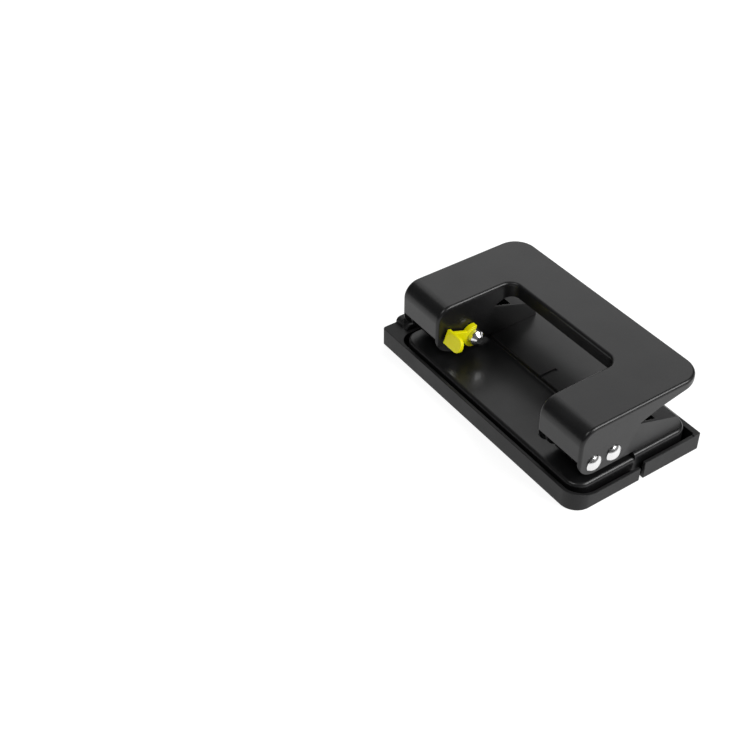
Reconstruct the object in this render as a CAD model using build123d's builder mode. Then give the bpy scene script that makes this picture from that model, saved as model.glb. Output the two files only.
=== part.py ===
from build123d import *
import os
from math import cos, hypot, radians, sin

os.makedirs("parts", exist_ok=True)

# Two-hole paper punch, millimetres. X runs along the row of holes, Y from front to back,
# Z up. The origin is midway between the two punches, on the surface that the tray stands
# on. The handle is modelled pressed down and locked, as the punch is stored.

# --- overall sizes -------------------------------------------------------------------
hole_spacing = 80.0          # between the two holes, ISO 838
hole_margin = 12.0           # from a hole's centre to the edge of the sheet, ISO 838
arm_width = 22.0             # across one arm of the handle
handle_front = 15.5          # punch axis to the nose of an arm
handle_rear = 41.4           # punch axis to the back of the handle
base_overhang = 11.1         # base plate beyond a punch axis, sideways
base_front = 15.2            # punch axis to the front of the base plate
base_rear = 38.8             # punch axis to the back of the base plate

# --- sheet thicknesses ---------------------------------------------------------------
handle_sheet = 1.0
bracket_sheet = 1.2
base_sheet = 1.0

# --- heights -------------------------------------------------------------------------
table_height = 9.3           # top of the base plate where the sheet of paper lies
stop_step = 1.7              # the raised rear part of the base plate, the paper's stop
paper_slot = 2.0             # free height between the table and the punch guide
axle_height = 18.3           # pivot and drive pins, handle pressed
handle_top = 34.8

# --- mechanism -----------------------------------------------------------------------
lever_arm = 9.0              # pivot to drive pin
lift_angle = 24.0            # the handle's travel, pressed to fully raised
punch_diameter = 5.5
drive_pin_diameter = 3.2
pivot_diameter = 4.0
rivet_head_diameter = 6.6
rivet_head_height = 1.4
running_clearance = 0.05     # radial, a pin or a punch turning or sliding in its bore
side_clearance = 0.4         # between a bracket and the flange of the handle beside it
slot_clearance = 0.1         # round the drive pin in the punch's cross slot
slot_margin = 0.5            # round the drive pin in a bracket's curved slot

# --- derived places ------------------------------------------------------------------
arm_centre = hole_spacing / 2
arm_outer = arm_centre + arm_width / 2
arm_inner = arm_centre - arm_width / 2
base_half = arm_centre + base_overhang
slot_top = table_height + paper_slot
deck_height = table_height + stop_step
pin_sway = lever_arm * (1 - cos(radians(lift_angle)))
punch_stroke = lever_arm * sin(radians(lift_angle))
pin_y = pin_sway / 2
pivot_y = pin_y - lever_arm
bracket_half = arm_width / 2 - handle_sheet - side_clearance
channel_half = bracket_half - bracket_sheet
sides = (("left", -1), ("right", 1))

# --- handle --------------------------------------------------------------------------
nose_radius = 6.5
nose_lip_height = 21.6       # lower edge of the nose between an arm's flanges
skirt_height = 13.5          # lower edge of the flanges round the pivots
skirt_front_corner = 8.0
skirt_rear_corner = 4.5
skirt_rear = 5.0             # where the flange starts to climb to the notch
notch_y = 11.8
notch_height = 26.3
bar_flange_height = 28.9     # lower edge of the flange at the front of the cross bar
tail_flange = 1.9            # depth of the flange at the back of the handle
opening_rear = 19.8          # punch axis to the cross bar
opening_radius = 4.5
tail_radius = 9.0
side_bend = 1.3


def nose_and_top(inset, tail, points_below):
    """Side outline that closes points_below with the nose and the top, drawn in by inset."""
    nose = -handle_front + inset
    bend = nose_radius - inset
    nose_top = (nose, handle_top - inset - bend)
    top_front = (nose + bend, handle_top - inset)
    top_rear = (tail, handle_top - inset)
    with BuildSketch() as outline:
        with BuildLine():
            Polyline(nose_top, *points_below, top_rear, top_front)
            RadiusArc(top_front, nose_top, -bend)
        make_face()
    return outline.sketch


def handle_plan(inset):
    """The handle seen from above, drawn in by inset: two arms and the bar behind them."""
    gap_front = -handle_front - side_clearance
    with BuildSketch() as plan:
        with Locations((0, (handle_rear - handle_front) / 2)):
            Rectangle(2 * (arm_outer - inset), handle_rear + handle_front - 2 * inset)
        fillet(plan.vertices().group_by(Axis.Y)[-1], tail_radius - inset)
        with BuildSketch(mode=Mode.SUBTRACT) as gap:
            with Locations((0, (opening_rear + inset + gap_front) / 2)):
                Rectangle(2 * (arm_inner + inset), opening_rear + inset - gap_front)
            fillet(gap.vertices().group_by(Axis.Y)[-1], opening_radius + inset)
    return plan.sketch


room_line = ((-handle_front + handle_sheet, 0), (handle_rear + handle_sheet, 0))
blank_line = ((-handle_front, 0), (handle_rear + handle_sheet, 0))
head_room = handle_top + handle_sheet

with BuildPart() as handle_room:
    with BuildSketch():
        add(handle_plan(handle_sheet))
    extrude(amount=head_room)
    with BuildSketch(Plane.YZ.offset(-arm_outer)):
        add(nose_and_top(handle_sheet, handle_rear + handle_sheet, room_line))
    extrude(amount=2 * arm_outer, mode=Mode.INTERSECT)

with BuildPart() as handle:
    with BuildSketch():
        add(handle_plan(0))
    extrude(amount=head_room)
    with BuildSketch(Plane.YZ.offset(-arm_outer)):
        add(nose_and_top(0, handle_rear + handle_sheet, blank_line))
    extrude(amount=2 * arm_outer, mode=Mode.INTERSECT)
    top_face = handle.faces().filter_by(lambda face: face.normal_at().Z > 0.9).sort_by(Axis.Z)[-1]
    fillet(top_face.edges().filter_by(
        lambda edge: abs(edge.tangent_at(0.5).X) < 0.95 or edge.center().Y > notch_y), side_bend)
    add(handle_room.part, mode=Mode.SUBTRACT)
    with BuildSketch(Plane.YZ.offset(-arm_outer)) as flange_outline:
        with BuildLine():
            Polyline(
                (-handle_front, head_room),
                (-handle_front, skirt_height),
                (skirt_rear, skirt_height),
                (notch_y, notch_height),
                (opening_rear, bar_flange_height),
                (handle_rear, handle_top - tail_flange),
                (handle_rear + handle_sheet, handle_top - tail_flange),
                (handle_rear + handle_sheet, head_room),
                close=True,
            )
        make_face()
        fillet(flange_outline.vertices().group_by(Axis.Y)[0].sort_by(Axis.X)[0], skirt_front_corner)
        fillet(flange_outline.vertices().sort_by_distance((skirt_rear, skirt_height))[0],
               skirt_rear_corner)
    extrude(amount=2 * arm_outer, mode=Mode.INTERSECT)
    with Locations([(side * arm_centre, -handle_front, nose_lip_height) for _, side in sides]):
        Box(arm_width - 2 * handle_sheet, 4 * handle_sheet, 2 * nose_lip_height,
            align=(Align.CENTER, Align.CENTER, Align.MAX), mode=Mode.SUBTRACT)
    for y, diameter in ((pivot_y, pivot_diameter), (pin_y, drive_pin_diameter)):
        with BuildSketch(Plane.YZ.offset(-arm_outer)):
            with Locations((y, axle_height)):
                Circle(diameter / 2)
        extrude(amount=2 * arm_outer, mode=Mode.SUBTRACT)
handle.part.label = "handle"
export_step(handle.part, "parts/handle.step")

# --- base plate ----------------------------------------------------------------------
base_corner = 6.0
base_bend = 1.5
step_bend = 0.7              # the edges of the paper stop
rim_foot = 2.2               # lower edge of the base plate's turned-down rim
punch_hole_clearance = 0.3
foot_rivet_diameter = 3.0
foot_rivet_places = (19.0, 28.0)
mark_length = 7.6
mark_width = 1.4
mark_depth = 0.5


def base_blank(inset):
    """The stepped block inside the base plate's outline, drawn in by inset."""
    with BuildPart() as blank:
        with BuildSketch(Plane.XY.offset(rim_foot)):
            with Locations((0, (base_rear - base_front) / 2)):
                RectangleRounded(2 * (base_half - inset), base_rear + base_front - 2 * inset,
                                 base_corner - inset)
        extrude(amount=deck_height - inset - rim_foot)
        front_edge = -base_front - inset
        with Locations((0, front_edge, table_height - inset)):
            Box(2 * base_half, hole_margin + inset - front_edge, stop_step,
                align=(Align.CENTER, Align.MIN, Align.MIN), mode=Mode.SUBTRACT)
    return blank


with BuildPart() as base_plate:
    add(base_blank(0).part)
    rim_edges = base_plate.edges().filter_by(
        lambda edge: edge.center().Z > table_height - 0.1
        and abs(edge.tangent_at(0.5).Z) < 0.5
        and not (abs(edge.center().Y - hole_margin) < 0.1))
    fillet(rim_edges, base_bend)
    flat_half = base_half - base_bend
    with BuildSketch(Plane.YZ.offset(-flat_half)):
        with Locations((hole_margin - step_bend / 2, table_height + step_bend / 2)):
            Rectangle(step_bend, step_bend)
        with Locations((hole_margin - step_bend, table_height + step_bend)):
            Circle(step_bend, mode=Mode.SUBTRACT)
    extrude(amount=2 * flat_half)
    with BuildSketch(Plane.YZ.offset(-flat_half)):
        with Locations((hole_margin + step_bend / 2, deck_height - step_bend / 2)):
            Rectangle(step_bend, step_bend)
        with Locations((hole_margin + step_bend, deck_height - step_bend)):
            Circle(step_bend, mode=Mode.SUBTRACT)
    extrude(amount=2 * flat_half, mode=Mode.SUBTRACT)
    add(base_blank(base_sheet).part, mode=Mode.SUBTRACT)
    for _, side in sides:
        with Locations((side * arm_centre, 0, deck_height)):
            Cylinder(punch_diameter / 2 + punch_hole_clearance, 2 * deck_height,
                     align=(Align.CENTER, Align.CENTER, Align.MAX), mode=Mode.SUBTRACT)
        with Locations([(side * arm_centre, y, deck_height) for y in foot_rivet_places]):
            Cylinder(foot_rivet_diameter / 2, 2 * base_sheet, mode=Mode.SUBTRACT)
    with Locations((0, hole_margin, deck_height)):
        Box(mark_width, mark_length, 2 * mark_depth,
            align=(Align.CENTER, Align.MIN, Align.CENTER), mode=Mode.SUBTRACT)
base_plate.part.label = "base_plate"
export_step(base_plate.part, "parts/base_plate.step")

# --- brackets: a box of bent sheet on the base plate inside each arm -------------------
bracket_front = 12.8
bracket_rear = 35.0
bracket_back_top = 17.4      # height of the bracket's rear edge
bracket_peak = 26.8          # its highest point, under the handle
bracket_nose_top = 23.0
bracket_front_corner = 7.5
bracket_back_bend = 3.0
roof_front = 21.9            # punch axis to the front edge of the sloping roof
bracket_lean = 1.6           # the rear face leans forward by this
guide_plate = 1.2
guide_front = 8.4
guide_rear = 8.0
tab_length = 6.0
lip_width = 8.0
lip_shift = 2.5              # the lip stands to the right of the punch by this
lip_rise = 5.1
lip_lean = 3.1               # the lip's top edge ahead of its foot
die_diameter = 9.0
die_thickness = 2.2
foot_rivet_head = 5.4
foot_rivet_head_height = 0.9


def bracket_outline(inset):
    """Side outline of a bracket, its rear and its sloping roof drawn in by inset."""
    roof_slope = (bracket_peak - bracket_back_top) / (bracket_rear - bracket_lean - skirt_rear)
    drop = inset * hypot(1, roof_slope)
    with BuildSketch() as outline:
        with BuildLine():
            Polyline(
                (-bracket_front, slot_top),
                (hole_margin + base_sheet, slot_top),
                (hole_margin + base_sheet, deck_height),
                (bracket_rear - inset, deck_height),
                (bracket_rear - bracket_lean - inset, bracket_back_top - drop),
                (skirt_rear, bracket_peak - drop),
                (pivot_y + pivot_diameter, bracket_peak - drop),
                (-bracket_front, bracket_nose_top),
                close=True,
            )
        make_face()
    return outline.sketch


for name, side in sides:
    centre = side * arm_centre
    with BuildPart() as bracket:
        with BuildSketch(Plane.YZ.offset(centre - bracket_half)):
            add(bracket_outline(0))
        extrude(amount=2 * bracket_half)
        rear_edges = bracket.edges().filter_by(Axis.X).group_by(Axis.Y)
        fillet(rear_edges[-2], bracket_back_bend)
        front_low = bracket.edges().filter_by(Axis.X).group_by(Axis.Y)[0].sort_by(Axis.Z)[0]
        fillet(front_low, bracket_front_corner)
        with BuildSketch(Plane.YZ.offset(centre - channel_half)):
            add(bracket_outline(bracket_sheet))
        extrude(amount=2 * channel_half, mode=Mode.SUBTRACT)
        with Locations((centre, 0, slot_top)):
            Box(2 * channel_half, 2 * roof_front, bracket_peak, mode=Mode.SUBTRACT,
                align=(Align.CENTER, Align.CENTER, Align.MIN))
        with Locations((centre, roof_front, deck_height)):
            Box(2 * channel_half, bracket_rear - bracket_sheet - roof_front, bracket_sheet,
                align=(Align.CENTER, Align.MIN, Align.MIN))
        with BuildSketch(Plane.YZ.offset(centre - bracket_half)):
            with Locations((pivot_y, axle_height)):
                Circle(pivot_diameter / 2 + running_clearance)
            with BuildLine() as swing:
                CenterArc((pivot_y, axle_height), lever_arm, -2, lift_angle + 4)
            SlotArc(arc=swing.wires()[0], height=drive_pin_diameter + 2 * slot_margin)
        extrude(amount=2 * bracket_half, mode=Mode.SUBTRACT)
        with Locations((centre, 0, slot_top)):
            Box(2 * bracket_half, tab_length, guide_plate, mode=Mode.SUBTRACT,
                align=(Align.CENTER, Align.CENTER, Align.MIN))
        with Locations([(centre, y, deck_height) for y in foot_rivet_places]):
            Cylinder(foot_rivet_diameter / 2, 3 * bracket_sheet, mode=Mode.SUBTRACT)
    bracket.part.label = f"{name}_bracket"
    export_step(bracket.part, f"parts/{name}_bracket.step")

    # the plate between a bracket's sides that steers the punch and holds the paper down
    with BuildPart() as guide:
        with BuildSketch(Plane.XY.offset(slot_top)):
            with Locations((centre, (guide_rear - guide_front) / 2)):
                Rectangle(2 * channel_half, guide_rear + guide_front)
            with Locations((centre, 0)):
                Rectangle(2 * bracket_half, tab_length)
        extrude(amount=guide_plate)
        lip_length = hypot(lip_rise, lip_lean)
        lip_back = guide_plate * lip_rise / lip_length
        lip_up = guide_plate * lip_lean / lip_length
        with BuildSketch(Plane.YZ.offset(centre + lip_shift - lip_width / 2)):
            with BuildLine():
                Polyline(
                    (-guide_front, slot_top),
                    (-guide_front - lip_lean, slot_top + lip_rise),
                    (-guide_front - lip_lean + lip_back, slot_top + lip_rise + lip_up),
                    (-guide_front + lip_back, slot_top + lip_up),
                    close=True,
                )
            make_face()
        extrude(amount=lip_width)
        with Locations((centre, 0, slot_top)):
            Cylinder(punch_diameter / 2 + running_clearance, 3 * guide_plate, mode=Mode.SUBTRACT)
    guide.part.label = f"{name}_guide"
    export_step(guide.part, f"parts/{name}_guide.step")

    # the hardened ring under the base plate that the punch shears against
    with BuildPart() as die:
        with Locations((centre, 0, table_height - base_sheet)):
            Cylinder(die_diameter / 2, die_thickness, align=(Align.CENTER, Align.CENTER, Align.MAX))
            Cylinder(punch_diameter / 2 + running_clearance, 3 * die_thickness,
                     mode=Mode.SUBTRACT)
    die.part.label = f"{name}_die"
    export_step(die.part, f"parts/{name}_die.step")

    # two rivets through a bracket's foot and the base plate
    with BuildPart() as foot_rivets:
        for y in foot_rivet_places:
            with Locations((centre, y, deck_height - base_sheet)):
                Cylinder(foot_rivet_diameter / 2, base_sheet + bracket_sheet,
                         align=(Align.CENTER, Align.CENTER, Align.MIN))
                Cylinder(foot_rivet_head / 2, foot_rivet_head_height,
                         align=(Align.CENTER, Align.CENTER, Align.MAX))
            with Locations((centre, y, deck_height + bracket_sheet)):
                Cylinder(foot_rivet_head / 2, foot_rivet_head_height,
                         align=(Align.CENTER, Align.CENTER, Align.MIN))
        head_rims = foot_rivets.edges().filter_by(GeomType.CIRCLE).group_by(Axis.Z)
        fillet(head_rims[-1] + head_rims[0], foot_rivet_head_height / 2)
    foot_rivets.part.label = f"{name}_foot_rivets"
    export_step(foot_rivets.part, f"parts/{name}_foot_rivets.step")

# --- punches, each with its spring and the ring that the spring lifts ------------------
tip_recess = 0.1             # a raised punch's tip inside its guide
head_above_pin = 3.2
ring_below_pin = 0.5
punch_tip = slot_top + tip_recess - punch_stroke
punch_head = axle_height + head_above_pin
ring_top = axle_height - drive_pin_diameter / 2 - ring_below_pin
ring_thickness = 0.7
ring_diameter = 9.0
ring_groove = 0.5            # depth of the groove in the punch
ring_gap = 3.4
spring_wire = 0.6
spring_radius = 3.55
spring_turns = 3.0
cutting_notch = 0.9
head_chamfer = 0.6

for name, side in sides:
    centre = side * arm_centre
    with BuildPart() as punch:
        with Locations((centre, 0, punch_tip)):
            Cylinder(punch_diameter / 2, punch_head - punch_tip,
                     align=(Align.CENTER, Align.CENTER, Align.MIN))
        chamfer(punch.edges().group_by(Axis.Z)[-1], head_chamfer)
        with BuildSketch(Plane.XZ.offset(-punch_diameter)):
            with Locations((centre, punch_tip)):
                Polygon((-punch_diameter / 2, 0), (punch_diameter / 2, 0), (0, cutting_notch),
                        align=None)
        extrude(amount=2 * punch_diameter, mode=Mode.SUBTRACT)
        with BuildSketch(Plane.YZ.offset(centre - punch_diameter)):
            with Locations((0, axle_height)):
                SlotOverall(drive_pin_diameter + pin_sway + 2 * slot_clearance,
                            drive_pin_diameter + 2 * slot_clearance)
        extrude(amount=2 * punch_diameter, mode=Mode.SUBTRACT)
        with BuildSketch(Plane.XY.offset(ring_top)):
            with Locations((centre, 0)):
                Circle(punch_diameter)
                Circle(punch_diameter / 2 - ring_groove, mode=Mode.SUBTRACT)
        extrude(amount=-ring_thickness, mode=Mode.SUBTRACT)
    punch.part.label = f"{name}_punch"
    export_step(punch.part, f"parts/{name}_punch.step")

    with BuildPart() as ring:
        with BuildSketch(Plane.XY.offset(ring_top)):
            with Locations((centre, 0)):
                Circle(ring_diameter / 2)
                Circle(punch_diameter / 2 - ring_groove, mode=Mode.SUBTRACT)
            with Locations((centre, ring_diameter / 2)):
                Rectangle(ring_gap, ring_diameter, mode=Mode.SUBTRACT)
        extrude(amount=-ring_thickness)
    ring.part.label = f"{name}_punch_ring"
    export_step(ring.part, f"parts/{name}_punch_ring.step")

    spring_foot = slot_top + guide_plate
    coil_height = ring_top - ring_thickness - spring_foot - spring_wire
    with BuildPart() as spring:
        with BuildLine(Plane.XY.offset(spring_foot + spring_wire / 2)) as coil:
            Helix(coil_height / spring_turns, coil_height, spring_radius, center=(centre, 0, 0))
        with BuildSketch(Plane(coil.line @ 0, z_dir=coil.line % 0)):
            Circle(spring_wire / 2)
        sweep()
    spring.part.label = f"{name}_spring"
    export_step(spring.part, f"parts/{name}_spring.step")

# --- rivets and pins across the arms ---------------------------------------------------
rivet_rim = 0.35             # the upright edge of a domed head
swage_diameter = 5.8         # a rivet's flat end inside an arm
swage_height = 0.7
knob_reach = 6.0             # the lock pin's knob beyond the left arm
knob_diameter = 6.6
knob_groove = 0.6            # depth of the grooves round the knob
knob_ring = 0.9              # width of the knob's raised rings and of its grooves
stub_reach = 5.9             # the lock pin's inner end beyond the left arm
stub_diameter = 6.0


def pin_profile(steps, end_diameter):
    """Half the section of a pin along X: steps, then a domed end outwards from the last."""
    edge = (steps[-1][0] + rivet_rim, end_diameter / 2)
    tip = (edge[0] + rivet_head_height, 0)
    with BuildSketch() as profile:
        with BuildLine():
            Polyline(tip, (steps[0][0], 0), *steps, edge)
            TangentArc(tip, edge, tangent=(0, 1))
        make_face()
    return profile.sketch


def pin_plane(y, side):
    """The upright plane along a pin's axis, with its local X pointing out on that side."""
    return Plane((0, y, axle_height), x_dir=(side, 0, 0), z_dir=(0, -side, 0))


rivets = (
    ("left_pivot_rivet", -1, pivot_y, pivot_diameter),
    ("right_pivot_rivet", 1, pivot_y, pivot_diameter),
    ("right_drive_pin", 1, pin_y, drive_pin_diameter),
)
for name, side, y, diameter in rivets:
    rivet_steps = (
        (arm_inner - swage_height, swage_diameter / 2 - swage_height / 2),
        (arm_inner - swage_height / 2, swage_diameter / 2),
        (arm_inner, swage_diameter / 2),
        (arm_inner, diameter / 2),
        (arm_outer, diameter / 2),
        (arm_outer, rivet_head_diameter / 2),
    )
    with BuildPart() as rivet:
        with BuildSketch(pin_plane(y, side)):
            add(pin_profile(rivet_steps, rivet_head_diameter))
        revolve(axis=Axis((0, y, axle_height), (1, 0, 0)))
    rivet.part.label = name
    export_step(rivet.part, f"parts/{name}.step")

stub_end = arm_inner - stub_reach
groove_radius = knob_diameter / 2 - knob_groove
pin_steps = [
    (stub_end, stub_diameter / 4),
    (stub_end + stub_diameter / 4, stub_diameter / 2),
    (arm_inner, stub_diameter / 2),
    (arm_inner, drive_pin_diameter / 2),
    (arm_outer, drive_pin_diameter / 2),
    (arm_outer, knob_diameter / 2),
]
knob_neck = arm_outer + knob_reach - rivet_head_height - rivet_rim
for ring_start in (arm_outer + knob_ring, knob_neck - knob_ring):
    pin_steps += [
        (ring_start, knob_diameter / 2),
        (ring_start, groove_radius),
        (ring_start + knob_ring, groove_radius),
        (ring_start + knob_ring, knob_diameter / 2),
    ]
with BuildPart() as lock_pin:
    with BuildSketch(pin_plane(pin_y, -1)):
        add(pin_profile(pin_steps, knob_diameter))
    revolve(axis=Axis((0, pin_y, axle_height), (1, 0, 0)))
lock_pin.part.label = "lock_pin"
export_step(lock_pin.part, "parts/lock_pin.step")

# --- lock lever: a plastic hook snapped on the lock pin, with a thumb tab ---------------
lever_gap = 0.25             # between the lever and what is beside it
lever_sheet = 1.6
lever_reach = 13.6           # from the pin to the outer face of the thumb tab
lever_lift = 20.0            # degrees that the lever points above level
lever_band = 4.0             # height of the lever's flat arm
hub_diameter = 9.4
hub_mouth = 84.0             # the hub's opening, degrees, facing down and back
hub_mouth_middle = -72.0     # direction of the opening, degrees above straight back
tab_end = 18.8               # from the middle of the punch to the tab's free end
tab_height = 6.0
tab_corner = 2.7

lever_far = arm_inner - lever_gap
lever_back = arm_inner - swage_height - lever_gap
lever_front = lever_back - lever_sheet
lever_plane = Plane((0, pin_y, axle_height), z_dir=(1, 0, 0),
                    x_dir=(0, -cos(radians(lever_lift)), sin(radians(lever_lift))))
mouth_start = 180 - lever_lift - hub_mouth_middle - hub_mouth / 2
with BuildPart() as lock_lever:
    with BuildSketch(lever_plane.offset(-lever_back)):
        with Locations((lever_reach / 2, 0)):
            Rectangle(lever_reach, lever_band)
    extrude(amount=lever_sheet)
    with BuildSketch(lever_plane.offset(-lever_far)):
        Circle(hub_diameter / 2)
    extrude(amount=lever_far - lever_front)
    with BuildSketch(lever_plane.offset(-lever_back)):
        with Locations((lever_reach - lever_sheet / 2, 0)):
            Rectangle(lever_sheet, tab_height)
    extrude(amount=lever_back - tab_end)
    free_end = lock_lever.faces().sort_by(Axis.X)[-1]
    fillet(free_end.edges().sort_by(SortBy.LENGTH)[:2], tab_corner)
    with BuildSketch(lever_plane.offset(-lever_far)):
        Circle(stub_diameter / 2)
        with BuildLine():
            mouth = CenterArc((0, 0), hub_diameter, mouth_start, hub_mouth)
            Line((0, 0), mouth @ 0)
            Line((0, 0), mouth @ 1)
        make_face()
    extrude(amount=lever_far - lever_front, mode=Mode.SUBTRACT)
lock_lever.part.label = "lock_lever"
export_step(lock_lever.part, "parts/lock_lever.step")

# --- chip tray -------------------------------------------------------------------------
tray_wall = 1.3
tray_floor = 1.2
tray_gap = 1.3               # between the base plate's rim and the tray's wall
tray_rear_wall = 2.4
tray_height = 7.8
tray_side_front = 5.8        # top of the side wall beside the paper table
tray_side_rear = 7.4
tray_corner = 7.0
tray_rear_corner = 4.0
tray_slot_width = 1.9
tray_dip_run = 7.0           # the front wall falls to the side wall over this length
grip_block = 6.5             # front to back, the solid part ahead of the grip window
grip_reach = 7.5             # the grip beyond the tray's left wall
grip_window = 13.9
window_corner = 2.2
grip_rail = 2.7
grip_rear_bar = 3.9
grip_rise = 2.4
grip_corner = 5.0
grip_front_corner = 1.2
grip_end_bend = 2.0          # the rounded front end of the raised rail

tray_side = base_half + tray_gap + tray_wall
tray_front = base_front + tray_gap + tray_wall
tray_rear = base_rear + tray_gap / 2 + tray_rear_wall
grip_front = -tray_front
window_front = grip_front + grip_block
grip_rear = window_front + grip_window + grip_rear_bar



def tray_plan(inset_side, front, rear, front_corner, rear_corner):
    """The tray seen from above, with its front corners rounder than its rear ones."""
    with BuildSketch() as plan:
        with Locations((0, (rear - front) / 2)):
            Rectangle(2 * (tray_side - inset_side), rear + front)
        corners = plan.vertices().group_by(Axis.Y)
        fillet(corners[0], front_corner)
        fillet(corners[-1], rear_corner)
    return plan.sketch


with BuildPart() as chip_tray:
    with BuildSketch():
        add(tray_plan(0, tray_front, tray_rear, tray_corner, tray_rear_corner))
    extrude(amount=tray_height)
    with BuildSketch():
        with Locations((-tray_side - grip_reach, grip_front)):
            Rectangle(grip_reach + tray_corner + tray_wall, grip_rear - grip_front,
                      align=(Align.MIN, Align.MIN))
    extrude(amount=tray_height)
    with BuildSketch(Plane.XY.offset(tray_height)):
        with Locations((-tray_side - grip_reach, window_front)):
            Rectangle(grip_reach, grip_rear - window_front, align=(Align.MIN, Align.MIN))
    extrude(amount=grip_rise)
    rail_end = chip_tray.edges().filter_by(Axis.X).group_by(Axis.Z)[-1].sort_by(Axis.Y)[0]
    fillet(rail_end, grip_end_bend)
    fillet(chip_tray.edges().filter_by(Axis.Z).group_by(Axis.X)[0].sort_by(Axis.Y)[-1],
           grip_corner)
    front_corner = chip_tray.edges().filter_by(Axis.Z).group_by(Axis.X)[0].sort_by(Axis.Y)[0]
    fillet(front_corner, grip_front_corner)
    with BuildSketch() as window:
        with Locations((-tray_side - grip_reach + grip_rail, window_front)):
            Rectangle(grip_reach - grip_rail - tray_wall, grip_window,
                      align=(Align.MIN, Align.MIN))
        fillet(window.vertices().group_by(Axis.X)[0], window_corner)
    extrude(amount=2 * tray_height, mode=Mode.SUBTRACT)
    with BuildSketch(Plane.XY.offset(tray_floor)):
        add(tray_plan(tray_wall, base_front + tray_gap, base_rear + tray_gap / 2,
                      tray_corner - tray_wall, base_corner + tray_gap / 2))
    extrude(amount=2 * tray_height, mode=Mode.SUBTRACT)
    with BuildSketch(Plane.YZ):
        with BuildLine():
            dip_start = -tray_front + 2 * tray_wall
            stop_edge = hole_margin + base_sheet
            Polyline(
                (dip_start, tray_height),
                (dip_start + tray_dip_run, tray_side_front),
                (stop_edge, tray_side_front),
                (stop_edge, tray_side_rear),
                (base_rear, tray_side_rear),
                (base_rear, tray_height),
                close=True,
            )
        make_face()
    extrude(amount=2 * tray_side, mode=Mode.SUBTRACT)
    with Locations((tray_side, stop_edge, 0)):
        Box(4 * tray_wall, tray_slot_width, 3 * tray_height,
            align=(Align.CENTER, Align.MIN, Align.CENTER), mode=Mode.SUBTRACT)
chip_tray.part.label = "chip_tray"
export_step(chip_tray.part, "parts/chip_tray.step")
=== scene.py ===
"""Looks of a small black two-hole paper punch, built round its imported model."""

import logging
import math
from dataclasses import dataclass
from enum import Enum

import bmesh
import bpy
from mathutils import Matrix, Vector


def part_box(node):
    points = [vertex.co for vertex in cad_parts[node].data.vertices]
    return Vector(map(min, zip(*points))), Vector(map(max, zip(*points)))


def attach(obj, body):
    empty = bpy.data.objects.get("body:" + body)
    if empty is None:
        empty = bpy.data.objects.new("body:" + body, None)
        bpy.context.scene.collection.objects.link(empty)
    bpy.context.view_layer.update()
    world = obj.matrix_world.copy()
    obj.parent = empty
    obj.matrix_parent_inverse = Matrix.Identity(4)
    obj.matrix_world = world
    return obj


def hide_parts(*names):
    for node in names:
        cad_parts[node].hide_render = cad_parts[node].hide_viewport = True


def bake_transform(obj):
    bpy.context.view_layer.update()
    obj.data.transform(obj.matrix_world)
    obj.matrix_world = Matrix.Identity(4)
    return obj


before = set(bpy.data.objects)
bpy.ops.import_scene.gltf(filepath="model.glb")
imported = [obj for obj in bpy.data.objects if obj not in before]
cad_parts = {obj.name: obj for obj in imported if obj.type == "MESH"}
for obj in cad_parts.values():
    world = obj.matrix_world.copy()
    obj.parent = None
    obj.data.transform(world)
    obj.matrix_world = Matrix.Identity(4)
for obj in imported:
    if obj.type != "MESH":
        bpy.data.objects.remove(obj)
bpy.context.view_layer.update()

logging.basicConfig(level=logging.INFO, format="%(name)s: %(message)s")
log = logging.getLogger("punch")

MM = 0.001
SIDES = ("left", "right")
Socket = bpy.types.NodeSocket
Colour = tuple[float, float, float]
Place = tuple[float, float, float]
WHITE: Colour = (1.0, 1.0, 1.0)
PALE_DUST: Colour = (0.32, 0.32, 0.31)

# Cosine between the rounded and the true normal, where wear on an edge starts and is full.
WEAR_STARTS, WEAR_FULL = 0.995, 0.86
# Noise values between which the wear breaks up.
BREAKUP_STARTS, BREAKUP_FULL = 0.45, 0.68
# Upward share of a face's normal, where dust starts to lie and lies fully.
DUST_STARTS, DUST_FULL = 0.3, 0.95
# Noise values between which a speck of dust shows.
SPECK_STARTS, SPECK_FULL = 0.5, 0.85
# Features in a metre of the slow changes of tint and of the patches of dust.
MOTTLE_SCALE, PATCH_SCALE = 90.0, 60.0
# Noise values that stand for the smooth and the rough end of a finish.
MOTTLE_SPAN, SCRATCH_SPAN = (0.3, 0.7), (0.35, 0.65)
# Wear values between which grime takes over from bare steel, and the largest share it takes.
GRIME_STARTS, GRIME_FULL, GRIME_SHARE = 0.1, 0.5, 0.45

# Places of the colour sockets on Blender's Mix node, whose names repeat for each data type.
MIX_FACTOR, MIX_FIRST, MIX_SECOND, MIX_RESULT = 0, 6, 7, 2


# --- node trees ------------------------------------------------------------------------


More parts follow.
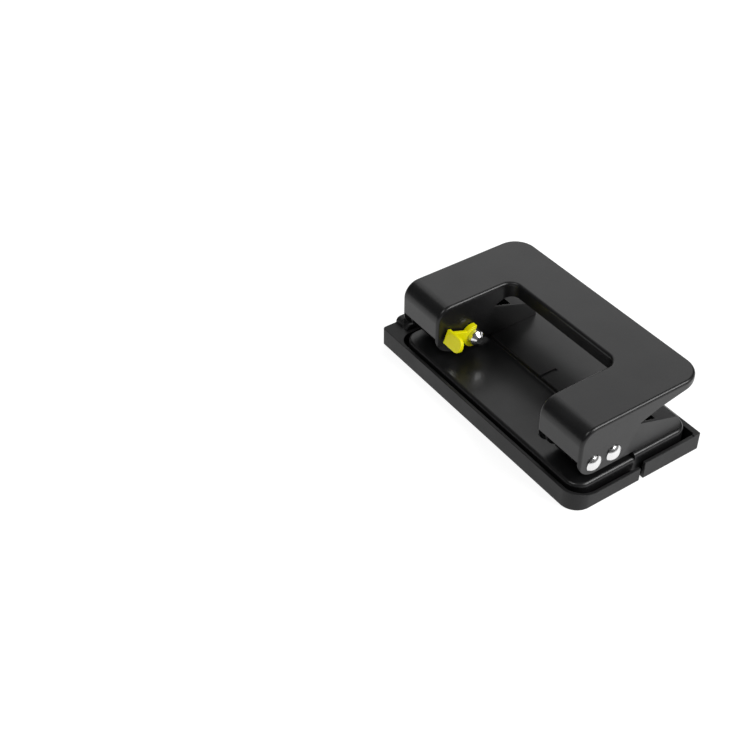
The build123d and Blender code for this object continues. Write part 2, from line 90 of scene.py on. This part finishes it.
class Graph:
    """A shader node tree under construction.

    Args:
        tree: the node tree to fill.
    """

    def __init__(self, tree: bpy.types.NodeTree) -> None:
        """Keep the tree and empty it."""
        self.tree = tree
        tree.nodes.clear()

    def feed(self, socket: Socket, value: object) -> None:
        """Set or link one input.

        Args:
            socket: the input.
            value: a value for it, or the output socket that feeds it.
        """
        if isinstance(value, Socket):
            self.tree.links.new(value, socket)
        else:
            socket.default_value = value

    def add(self, kind: str, wires: dict | None = None, **settings: object) -> bpy.types.Node:
        """Add one node.

        Args:
            kind: the node's type name, such as ShaderNodeMath.
            wires: input name or index to a value, or to the output socket that feeds it.
            settings: attributes of the node itself.

        Returns:
            The new node.
        """
        node = self.tree.nodes.new(kind)
        for name, value in settings.items():
            setattr(node, name, value)
        for key, value in (wires or {}).items():
            self.feed(node.inputs[key], value)
        return node

    def maths(self, operation: str, *values: object) -> Socket:
        """Add a Math node.

        Args:
            operation: its operation, such as MULTIPLY.
            values: its inputs in order, numbers or sockets.

        Returns:
            The node's output.
        """
        return self.add("ShaderNodeMath", dict(enumerate(values)), operation=operation).outputs[0]

    def spread(self, value: Socket, low: tuple[float, float],
               high: tuple[float, float]) -> Socket:
        """Map a value from one range to another, clamped.

        Args:
            value: the value to map.
            low: the value and the result at the low end.
            high: the value and the result at the high end.

        Returns:
            The mapped value.
        """
        wires = {"Value": value, "From Min": low[0], "From Max": high[0],
                 "To Min": low[1], "To Max": high[1]}
        return self.add("ShaderNodeMapRange", wires).outputs["Result"]

    def mask(self, value: Socket, starts: float, full: float) -> Socket:
        """Turn a value into a mask.

        Args:
            value: the value to read.
            starts: where the mask starts to rise from 0.
            full: where it reaches 1.

        Returns:
            The mask, 0 to 1.
        """
        return self.spread(value, (starts, 0.0), (full, 1.0))

    def noise(self, place: Socket, scale: float | Socket, detail: float = 3.0,
              roughness: float = 0.5) -> Socket:
        """Add a noise texture.

        Args:
            place: the coordinates that it reads.
            scale: how many features fit in a metre.
            detail: its octaves.
            roughness: how strong the finer octaves are.

        Returns:
            The noise value, about 0 to 1.
        """
        wires = {"Vector": place, "Scale": scale, "Detail": detail, "Roughness": roughness}
        return self.add("ShaderNodeTexNoise", wires).outputs["Fac"]


def group_tree(name: str, inputs: tuple[str, ...],
               outputs: tuple[str, ...]) -> tuple[Graph, bpy.types.Node, bpy.types.Node]:
    """Start a shader node group with float sockets.

    Args:
        name: the group's name.
        inputs: names of the inputs, which every use of the group sets.
        outputs: names of the outputs.

    Returns:
        The graph, its input node and its output node.
    """
    tree = bpy.data.node_groups.new(name, "ShaderNodeTree")
    graph = Graph(tree)
    for in_out, labels in (("INPUT", inputs), ("OUTPUT", outputs)):
        for label in labels:
            tree.interface.new_socket(label, in_out=in_out, socket_type="NodeSocketFloat")
    return graph, graph.add("NodeGroupInput"), graph.add("NodeGroupOutput")


def build_grain() -> bpy.types.NodeTree:
    """Fine surface texture: a soft ripple with a finer grain on it.

    Returns:
        The group, with outputs Height and Mottle.
    """
    graph, given, result = group_tree(
        "fine_grain", ("Ripple Scale", "Grain Scale", "Grain Share"), ("Height", "Mottle"))
    place = graph.add("ShaderNodeTexCoord").outputs["Object"]
    ripple = graph.noise(place, given.outputs["Ripple Scale"], detail=2.0)
    grain = graph.noise(place, given.outputs["Grain Scale"])
    part = graph.maths("MULTIPLY", grain, given.outputs["Grain Share"])
    graph.feed(result.inputs["Height"], graph.maths("ADD", ripple, part))
    mottle = graph.noise(place, MOTTLE_SCALE, detail=4.0, roughness=0.6)
    graph.feed(result.inputs["Mottle"], mottle)
    return graph.tree


def build_wear() -> bpy.types.NodeTree:
    """Wear along edges: where a rounded normal leaves the true one, broken up by noise.

    Returns:
        The group, with output Mask.
    """
    graph, given, result = group_tree(
        "edge_wear", ("Radius", "Amount", "Breakup Scale"), ("Mask",))
    rounded = graph.add("ShaderNodeBevel", {"Radius": given.outputs["Radius"]}, samples=4)
    normal = graph.add("ShaderNodeNewGeometry").outputs["Normal"]
    facing = graph.add("ShaderNodeVectorMath", {0: rounded.outputs[0], 1: normal},
                       operation="DOT_PRODUCT").outputs["Value"]
    edge = graph.mask(facing, WEAR_STARTS, WEAR_FULL)
    place = graph.add("ShaderNodeTexCoord").outputs["Object"]
    breakup = graph.noise(place, given.outputs["Breakup Scale"], detail=5.0, roughness=0.7)
    worn = graph.maths("MULTIPLY", edge, graph.mask(breakup, BREAKUP_STARTS, BREAKUP_FULL))
    graph.feed(result.inputs["Mask"], graph.maths("MULTIPLY", worn, given.outputs["Amount"]))
    return graph.tree


def build_dust() -> bpy.types.NodeTree:
    """Thin dust on faces that look up.

    Returns:
        The group, with output Mask.
    """
    graph, given, result = group_tree("dust", ("Amount", "Speck Scale"), ("Mask",))
    normal = graph.add("ShaderNodeNewGeometry").outputs["Normal"]
    upward = graph.add("ShaderNodeSeparateXYZ", {0: normal}).outputs["Z"]
    lying = graph.mask(upward, DUST_STARTS, DUST_FULL)
    place = graph.add("ShaderNodeTexCoord").outputs["Object"]
    specks = graph.noise(place, given.outputs["Speck Scale"], detail=4.0, roughness=0.8)
    patch = graph.noise(place, PATCH_SCALE)
    amount = graph.maths("MULTIPLY", graph.mask(specks, SPECK_STARTS, SPECK_FULL), patch)
    lain = graph.maths("MULTIPLY", amount, lying)
    graph.feed(result.inputs["Mask"], graph.maths("MULTIPLY", lain, given.outputs["Amount"]))
    return graph.tree


class Effects:
    """The node groups that materials share, each built once."""

    def __init__(self) -> None:
        """Build every group."""
        self.grain = build_grain()
        self.wear = build_wear()
        self.dust = build_dust()


# --- finishes --------------------------------------------------------------------------


class Finish:
    """A material under construction, with its Principled shader.

    Args:
        name: the material's name.
    """

    def __init__(self, name: str) -> None:
        """Start the material with a shader and an output."""
        self.material = bpy.data.materials.new(name)
        self.material.use_nodes = True
        self.graph = Graph(self.material.node_tree)
        self.shader = self.graph.add("ShaderNodeBsdfPrincipled")
        output = self.graph.add("ShaderNodeOutputMaterial")
        self.graph.feed(output.inputs["Surface"], self.shader.outputs[0])

    def effect(self, tree: bpy.types.NodeTree, **values: float) -> bpy.types.Node:
        """Place a shared group.

        Args:
            tree: the group.
            values: its inputs, with underscores for spaces.

        Returns:
            The group node.
        """
        node = self.graph.add("ShaderNodeGroup", node_tree=tree)
        for name, value in values.items():
            node.inputs[name.replace("_", " ")].default_value = value
        return node

    def mix(self, mask: Socket, first: Colour | Socket, second: Colour | Socket) -> Socket:
        """Mix two colours by a mask.

        Args:
            mask: 0 gives first, 1 gives second.
            first: a colour or a socket.
            second: a colour or a socket.

        Returns:
            The mixed colour.
        """
        node = self.graph.add("ShaderNodeMix", {MIX_FACTOR: mask}, data_type="RGBA")
        for place, value in ((MIX_FIRST, first), (MIX_SECOND, second)):
            colour = value if isinstance(value, Socket) else (*value, 1.0)
            self.graph.feed(node.inputs[place], colour)
        return node.outputs[MIX_RESULT]

    def uneven(self, noise: Socket, span: tuple[float, float], roughness: float,
               less: float, more: float) -> Socket:
        """Let the roughness drift with a noise.

        Args:
            noise: the noise that it follows.
            span: the noise values at the smooth and the rough end.
            roughness: its middle value.
            less: how far it falls below that.
            more: how far it rises above that.

        Returns:
            The roughness.
        """
        smooth, rough = span
        return self.graph.spread(noise, (smooth, roughness - less), (rough, roughness + more))

    def feed(self, **wires: object) -> None:
        """Set or link shader inputs.

        Args:
            wires: input name, with underscores for spaces, to a value or a socket.
        """
        for name, value in wires.items():
            self.graph.feed(self.shader.inputs[name.replace("_", " ")], value)

    def bump(self, height: Socket, depth: float) -> None:
        """Drive the shader's normal from a height.

        Args:
            height: the height, about 0 to 1.
            depth: how deep one unit of height is, in metres.
        """
        node = self.graph.add("ShaderNodeBump", {
            "Height": height, "Distance": depth, "Strength": 1.0})
        self.graph.feed(self.shader.inputs["Normal"], node.outputs[0])


@dataclass(frozen=True)
class Enamel:
    """Baked gloss paint on pressed steel."""

    colour: Colour = (0.0055, 0.0055, 0.0058)
    faded: Colour = (0.0080, 0.0080, 0.0084)
    primer: Colour = (0.10, 0.10, 0.105)
    dust: Colour = (0.30, 0.30, 0.29)
    roughness: float = 0.33
    dust_roughness: float = 0.6
    ripple_depth: float = 0.000012

    def build(self, name: str, effects: Effects) -> bpy.types.Material:
        """Make the material.

        Args:
            name: its name.
            effects: the shared node groups.

        Returns:
            The material.
        """
        paint = Finish(name)
        grain = paint.effect(effects.grain, Ripple_Scale=650.0, Grain_Scale=5200.0,
                             Grain_Share=0.12)
        wear = paint.effect(effects.wear, Radius=0.00035, Amount=0.22, Breakup_Scale=1100.0)
        dust = paint.effect(effects.dust, Amount=0.05, Speck_Scale=2600.0)
        shade = paint.mix(grain.outputs["Mottle"], self.colour, self.faded)
        shade = paint.mix(wear.outputs["Mask"], shade, self.primer)
        shade = paint.mix(dust.outputs["Mask"], shade, self.dust)
        rough = paint.uneven(grain.outputs["Mottle"], MOTTLE_SPAN, self.roughness,
                             less=0.03, more=0.04)
        dusty = paint.graph.maths("MULTIPLY", dust.outputs["Mask"], self.dust_roughness)
        rough = paint.graph.maths("ADD", rough, dusty)
        paint.feed(Base_Color=shade, Roughness=rough, IOR=1.37,
                   Coat_Weight=0.10, Coat_Roughness=0.16)
        paint.bump(grain.outputs["Height"], self.ripple_depth)
        return paint.material


@dataclass(frozen=True)
class Moulding:
    """Injection-moulded plastic with a spark-eroded grain."""

    colour: Colour
    streak: Colour
    rubbed: Colour
    roughness: float
    grain_depth: float
    ior: float
    subsurface: float = 0.0
    subsurface_reach: float = 0.001
    dust_amount: float = 0.06

    def build(self, name: str, effects: Effects) -> bpy.types.Material:
        """Make the material.

        Args:
            name: its name.
            effects: the shared node groups.

        Returns:
            The material.
        """
        plastic = Finish(name)
        grain = plastic.effect(effects.grain, Ripple_Scale=2400.0, Grain_Scale=6500.0,
                               Grain_Share=0.6)
        wear = plastic.effect(effects.wear, Radius=0.0004, Amount=0.35, Breakup_Scale=1500.0)
        dust = plastic.effect(effects.dust, Amount=self.dust_amount, Speck_Scale=2100.0)
        shade = plastic.mix(grain.outputs["Mottle"], self.colour, self.streak)
        shade = plastic.mix(wear.outputs["Mask"], shade, self.rubbed)
        shade = plastic.mix(dust.outputs["Mask"], shade, PALE_DUST)
        rough = plastic.uneven(grain.outputs["Mottle"], MOTTLE_SPAN, self.roughness,
                               less=0.04, more=0.05)
        plastic.feed(Base_Color=shade, Roughness=rough, IOR=self.ior,
                     Subsurface_Weight=self.subsurface, Subsurface_Scale=self.subsurface_reach)
        plastic.bump(grain.outputs["Height"], self.grain_depth)
        return plastic.material


class Polish(Enum):
    """How a steel piece is finished: roughness, scratch depth in metres, and its tint."""

    PLATED = (0.19, 0.0000014, (0.84, 0.84, 0.84))
    GROUND = (0.30, 0.0000030, (0.46, 0.46, 0.47))
    DRAWN_WIRE = (0.26, 0.0000020, (0.55, 0.55, 0.56))


@dataclass(frozen=True)
class Steel:
    """Bare or plated steel with fine scratches and a little grime in its corners."""

    polish: Polish
    grime: Colour = (0.10, 0.095, 0.085)
    dimming: float = 0.82
    scratch_scale: float = 900.0
    scratch_stretch: tuple[float, float, float] = (1.0, 14.0, 14.0)

    def build(self, name: str, effects: Effects) -> bpy.types.Material:
        """Make the material.

        Args:
            name: its name.
            effects: the shared node groups.

        Returns:
            The material.
        """
        roughness, scratch_depth, tint = self.polish.value
        steel = Finish(name)
        graph = steel.graph
        grain = steel.effect(effects.grain, Ripple_Scale=500.0, Grain_Scale=7000.0,
                             Grain_Share=0.5)
        place = graph.add("ShaderNodeTexCoord").outputs["Object"]
        stretched = graph.add("ShaderNodeMapping", {
            "Vector": place, "Scale": self.scratch_stretch}).outputs[0]
        scratches = graph.noise(stretched, self.scratch_scale, detail=6.0, roughness=0.7)
        wear = steel.effect(effects.wear, Radius=0.0003, Amount=0.5, Breakup_Scale=2000.0)
        dim = tuple(self.dimming * value for value in tint)
        shade = steel.mix(grain.outputs["Mottle"], tint, dim)
        soiled = graph.spread(wear.outputs["Mask"], (GRIME_STARTS, 0.0),
                              (GRIME_FULL, GRIME_SHARE))
        shade = steel.mix(soiled, shade, self.grime)
        rough = steel.uneven(scratches, SCRATCH_SPAN, roughness, less=0.05, more=0.08)
        steel.feed(Base_Color=shade, Metallic=1.0, Roughness=rough)
        steel.bump(graph.maths("ADD", scratches, grain.outputs["Height"]), scratch_depth)
        return steel.material


TRAY_PLASTIC = Moulding(
    colour=(0.011, 0.011, 0.0115), streak=(0.015, 0.015, 0.0155), rubbed=(0.040, 0.040, 0.041),
    roughness=0.46, grain_depth=0.000016, ior=1.29)
LEVER_PLASTIC = Moulding(
    colour=(0.80, 0.75, 0.0), streak=(0.84, 0.79, 0.001), rubbed=(0.88, 0.84, 0.03),
    roughness=0.34, grain_depth=0.000007, ior=1.34, subsurface=0.10, dust_amount=0.01)


# --- meshes ----------------------------------------------------------------------------


def link(name: str, data: bpy.types.ID) -> bpy.types.Object:
    """Put a mesh, a lamp or a camera into the scene as a new object.

    Args:
        name: the object's name.
        data: what it shows.

    Returns:
        The object.
    """
    piece = bpy.data.objects.new(name, data)
    bpy.context.scene.collection.objects.link(piece)
    return piece


def apply_modifiers(piece: bpy.types.Object) -> None:
    """Replace an object's mesh with what its modifiers make of it.

    Args:
        piece: the object.
    """
    bpy.context.view_layer.update()
    graph = bpy.context.evaluated_depsgraph_get()
    mesh = bpy.data.meshes.new_from_object(piece.evaluated_get(graph), depsgraph=graph)
    piece.modifiers.clear()
    old = piece.data
    piece.data = mesh
    bpy.data.meshes.remove(old)


def mark_sharp(mesh: bpy.types.Mesh, angle: float) -> None:
    """Shade a mesh smooth, with its sharper edges kept sharp.

    Args:
        mesh: the mesh.
        angle: the angle in degrees from which an edge is sharp.
    """
    work = bmesh.new()
    work.from_mesh(mesh)
    for face in work.faces:
        face.smooth = True
    for edge in work.edges:
        edge.smooth = (len(edge.link_faces) == 2
                       and edge.calc_face_angle(0.0) < math.radians(angle))
    work.to_mesh(mesh)
    work.free()


def dress(piece: bpy.types.Object, material: bpy.types.Material) -> None:
    """Give an object one material all over.

    Args:
        piece: the object.
        material: its material.
    """
    piece.data.materials.clear()
    piece.data.materials.append(material)


@dataclass(frozen=True)
class RoundedEdges:
    """Rounds the hard edges of a copy of a frame node, as pressing or moulding leaves them.

    Args:
        width: how far back from an edge the rounding starts, in metres.
        segments: facets across the rounding.
        hard_angle: the angle in degrees from which an edge is rounded.
        flat_angle: the angle in degrees below which neighbouring facets become one face.
        weld: how close two corners are when they become one, in metres.
        face_weight: how strongly large faces pull the normals to theirs, out of 100.
    """

    width: float
    segments: int = 3
    hard_angle: float = 34.0
    flat_angle: float = 0.4
    weld: float = 0.002 * MM
    face_weight: int = 80

    def clean(self, mesh: bpy.types.Mesh) -> None:
        """Weld a frame mesh's corners and join its flat facets.

        Args:
            mesh: the mesh, which also loses its materials and its stored normals.
        """
        work = bmesh.new()
        work.from_mesh(mesh)
        bmesh.ops.remove_doubles(work, verts=work.verts, dist=self.weld)
        bmesh.ops.dissolve_limit(work, angle_limit=math.radians(self.flat_angle),
                                 verts=work.verts, edges=work.edges)
        work.to_mesh(mesh)
        work.free()
        mesh.materials.clear()
        if mesh.has_custom_normals:
            mesh.attributes.remove(mesh.attributes["custom_normal"])

    def copy(self, node: str) -> bpy.types.Object:
        """Make the rounded copy, standing where the node stands.

        Args:
            node: the frame node.

        Returns:
            The new object, which replaces the node.
        """
        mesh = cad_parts[node].data.copy()
        self.clean(mesh)
        piece = link(f"{node}_shell", mesh)
        bevel = piece.modifiers.new("edges", "BEVEL")
        bevel.width = self.width
        bevel.segments = self.segments
        bevel.limit_method = "ANGLE"
        bevel.angle_limit = math.radians(self.hard_angle)
        bevel.harden_normals = False
        bevel.miter_outer = "MITER_ARC"
        apply_modifiers(piece)
        mark_sharp(piece.data, self.hard_angle)
        weigh = piece.modifiers.new("normals", "WEIGHTED_NORMAL")
        weigh.keep_sharp = True
        weigh.weight = self.face_weight
        apply_modifiers(piece)
        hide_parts(node)
        return piece


# --- sub-assemblies --------------------------------------------------------------------


@dataclass
class Palette:
    """Every finish of the punch, built once."""

    enamel: bpy.types.Material
    tray: bpy.types.Material
    lever: bpy.types.Material
    plated: bpy.types.Material
    ground: bpy.types.Material
    wire: bpy.types.Material

    @classmethod
    def build(cls, effects: Effects) -> "Palette":
        """Build the finishes.

        Args:
            effects: the shared node groups.

        Returns:
            The palette.
        """
        return cls(
            enamel=Enamel().build("black_enamel", effects),
            tray=TRAY_PLASTIC.build("black_tray_plastic", effects),
            lever=LEVER_PLASTIC.build("yellow_lever_plastic", effects),
            plated=Steel(Polish.PLATED).build("plated_steel", effects),
            ground=Steel(Polish.GROUND).build("ground_tool_steel", effects),
            wire=Steel(Polish.DRAWN_WIRE).build("spring_wire", effects),
        )


@dataclass
class Shells:
    """The pressed and moulded pieces, whose edges are rounded.

    Args:
        palette: the finishes.
    """

    palette: Palette

    def build(self) -> None:
        """Round, dress and attach every shell."""
        sheet = RoundedEdges(0.22 * MM)
        thin = RoundedEdges(0.15 * MM, segments=2)
        moulded = RoundedEdges(0.30 * MM)
        rows = [
            ("handle", "handle", sheet, self.palette.enamel, "black_paint"),
            ("base_plate", "base", sheet, self.palette.enamel, "black_paint"),
            ("chip_tray", "tray", moulded, self.palette.tray, "tray_plastic"),
            ("lock_lever", "lock", moulded, self.palette.lever, "lever_plastic"),
        ]
        for side in SIDES:
            rows.append((f"{side}_bracket", "base", thin, self.palette.enamel, "black_paint"))
            rows.append((f"{side}_guide", "base", thin, self.palette.enamel, "black_paint"))
        for node, body, edges, material, slot in rows:
            piece = edges.copy(node)
            dress(piece, material)
            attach(piece, body)
            log.info("%s: %d faces", node, len(piece.data.polygons))


@dataclass
class ReturnSpring:
    """The coil spring between a punch guide and the ring on its punch.

    Args:
        side: left or right, the arm that it stands in.
        material: its finish.
        turns: its turns from end to end.
        closed_turns: how many of them rise more gently, half at each end.
        closing: how much more gently they rise, 0 to 1.
        wire: the wire's diameter, in metres.
        steps_per_turn: points along one turn.
        wire_sides: facets round the wire.
        sharp_angle: the angle in degrees from which an edge of the wire is sharp.
    """

    side: str
    material: bpy.types.Material
    turns: float = 3.0
    closed_turns: float = 0.75
    closing: float = 0.25
    wire: float = 0.6 * MM
    steps_per_turn: int = 40
    wire_sides: int = 12
    sharp_angle: float = 50.0

    def path(self) -> list[Vector]:
        """List points along the wire's middle.

        Returns:
            The points, from the guide up to the ring.
        """
        box_low, box_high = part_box(f"{self.side}_spring")
        middle = (Vector(box_low) + Vector(box_high)) / 2
        radius = (box_high[0] - box_low[0] - self.wire) / 2
        foot = box_low[2] + self.wire / 2
        height = box_high[2] - box_low[2] - self.wire
        count = round(self.turns * self.steps_per_turn)
        share = self.closed_turns / self.turns
        points = []
        for step in range(count + 1):
            along = step / count
            climb = min(max((along - share / 2) / (1 - share), 0.0), 1.0)
            eased = climb * climb * (3 - 2 * climb)
            rise = self.closing * eased + (1 - self.closing) * along
            angle = math.tau * self.turns * along
            points.append(Vector((middle.x + radius * math.cos(angle),
                                  middle.y + radius * math.sin(angle), foot + height * rise)))
        return points

    def sweep(self, points: list[Vector]) -> bpy.types.Mesh:
        """Sweep the wire's round section along a path.

        Args:
            points: the wire's middle.

        Returns:
            The wire's mesh, closed at both ends.
        """
        work = bmesh.new()
        rings = []
        for index, point in enumerate(points):
            ahead = points[min(index + 1, len(points) - 1)] - points[max(index - 1, 0)]
            across = ahead.cross(Vector((0, 0, 1))).normalized()
            up = across.cross(ahead).normalized()
            ring = []
            for corner in range(self.wire_sides):
                angle = math.tau * corner / self.wire_sides
                offset = across * math.cos(angle) + up * math.sin(angle)
                ring.append(work.verts.new(point + offset * self.wire / 2))
            rings.append(ring)
        for first, second in zip(rings, rings[1:]):
            for corner in range(self.wire_sides):
                beside = (corner + 1) % self.wire_sides
                work.faces.new((first[corner], first[beside], second[beside], second[corner]))
        work.faces.new(reversed(rings[0]))
        work.faces.new(rings[-1])
        bmesh.ops.recalc_face_normals(work, faces=work.faces)
        mesh = bpy.data.meshes.new(f"{self.side}_spring_wire")
        work.to_mesh(mesh)
        work.free()
        mark_sharp(mesh, self.sharp_angle)
        return mesh

    def build(self) -> None:
        """Put the wire in its place."""
        points = self.path()
        mesh = self.sweep(points)
        piece = link(mesh.name, mesh)
        dress(piece, self.material)
        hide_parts(f"{self.side}_spring")
        start, end = points[0].copy(), points[-1].copy()
        end.x, end.y = start.x, start.y
        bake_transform(piece)


@dataclass
class Hardware:
    """Rivets, pins, punches, rings and dies, which keep their frame shape.

    Args:
        palette: the finishes.
    """

    palette: Palette

    def build(self) -> None:
        """Dress every steel node that keeps its frame shape."""
        for node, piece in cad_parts.items():
            if "rivet" in node or "pin" in node:
                dress(piece, self.palette.plated)
            elif "punch" in node or "die" in node:
                dress(piece, self.palette.ground)
            else:
                continue
            log.info("%s: dressed", node)


# --- studio ----------------------------------------------------------------------------


@dataclass(frozen=True)
class SoftLight:
    """A rectangular soft light that faces the punch.

    Args:
        name: its name.
        place: where it hangs, in metres.
        size: its width and height, in metres.
        power: its power, in watts.
    """

    name: str
    place: Place
    size: tuple[float, float]
    power: float

    def hang(self) -> None:
        """Put the light into the scene."""
        lamp = bpy.data.lights.new(self.name, "AREA")
        lamp.shape = "RECTANGLE"
        lamp.size, lamp.size_y = self.size
        lamp.energy = self.power
        piece = link(self.name, lamp)
        piece.location = self.place
        piece.rotation_euler = (-Vector(self.place)).to_track_quat("-Z", "Y").to_euler()


SOFT_LIGHTS = (
    SoftLight("rear_left", (-0.70, 0.50, 0.70), (1.2, 0.9), 4.6),
    SoftLight("rear_right", (0.65, 0.45, 0.66), (0.60, 0.45), 9.0),
    SoftLight("front", (0.10, -0.55, 0.95), (0.5, 0.3), 3.0),
)


@dataclass
class Studio:
    """Floor, lights and camera."""

    floor_size: float = 6.0
    floor_drop: float = 0.2 * MM
    floor_cells: int = 8
    floor_colour: Colour = (0.30, 0.30, 0.30)
    floor_roughness: float = 0.7
    floor_gloss: float = 0.2
    floor_glow: float = 0.86
    world_strength: float = 0.10
    camera_place: Place = (0.2662, -0.2467, 0.3253)
    camera_target: Place = (-0.0466, -0.0315, 0.0)
    lens: float = 61.8
    sensor: float = 36.0
    near_clip: float = 0.01

    def build(self) -> None:
        """Set the whole studio up."""
        self.lay_floor()
        self.light()
        self.place_camera()

    def lay_floor(self) -> None:
        """Lay a plain pale floor just below the punch's underside."""
        mesh = bpy.data.meshes.new("floor")
        work = bmesh.new()
        bmesh.ops.create_grid(work, x_segments=self.floor_cells, y_segments=self.floor_cells,
                              size=self.floor_size / 2)
        work.to_mesh(mesh)
        work.free()
        floor = link("floor", mesh)
        floor.location.z = -self.floor_drop
        material = bpy.data.materials.new("pale_floor")
        material.use_nodes = True
        shader = material.node_tree.nodes["Principled BSDF"]
        shader.inputs["Base Color"].default_value = (*self.floor_colour, 1.0)
        shader.inputs["Roughness"].default_value = self.floor_roughness
        shader.inputs["Specular IOR Level"].default_value = self.floor_gloss
        shader.inputs["Emission Color"].default_value = (*WHITE, 1.0)
        shader.inputs["Emission Strength"].default_value = self.floor_glow
        dress(floor, material)

    def light(self) -> None:
        """Light the world faintly and hang the soft lights."""
        world = bpy.data.worlds.new("studio")
        world.use_nodes = True
        sky = world.node_tree.nodes["Background"]
        sky.inputs["Color"].default_value = (*WHITE, 1.0)
        sky.inputs["Strength"].default_value = self.world_strength
        bpy.context.scene.world = world
        for soft_light in SOFT_LIGHTS:
            soft_light.hang()

    def place_camera(self) -> None:
        """Put the camera where the punch is seen from its right front corner."""
        lens = bpy.data.cameras.new("camera")
        lens.lens = self.lens
        lens.sensor_width = self.sensor
        lens.clip_start = self.near_clip
        camera = link("camera", lens)
        camera.location = self.camera_place
        aim = Vector(self.camera_target) - Vector(self.camera_place)
        camera.rotation_euler = aim.to_track_quat("-Z", "Y").to_euler()
        bpy.context.scene.camera = camera
        bpy.context.scene.view_settings.view_transform = "Standard"


def main() -> None:
    """Build the looks of the punch and its studio."""
    palette = Palette.build(Effects())
    Shells(palette).build()
    Hardware(palette).build()
    for side in SIDES:
        ReturnSpring(side, palette.wire).build()
    Studio().build()


if __name__ == "__main__":
    main()
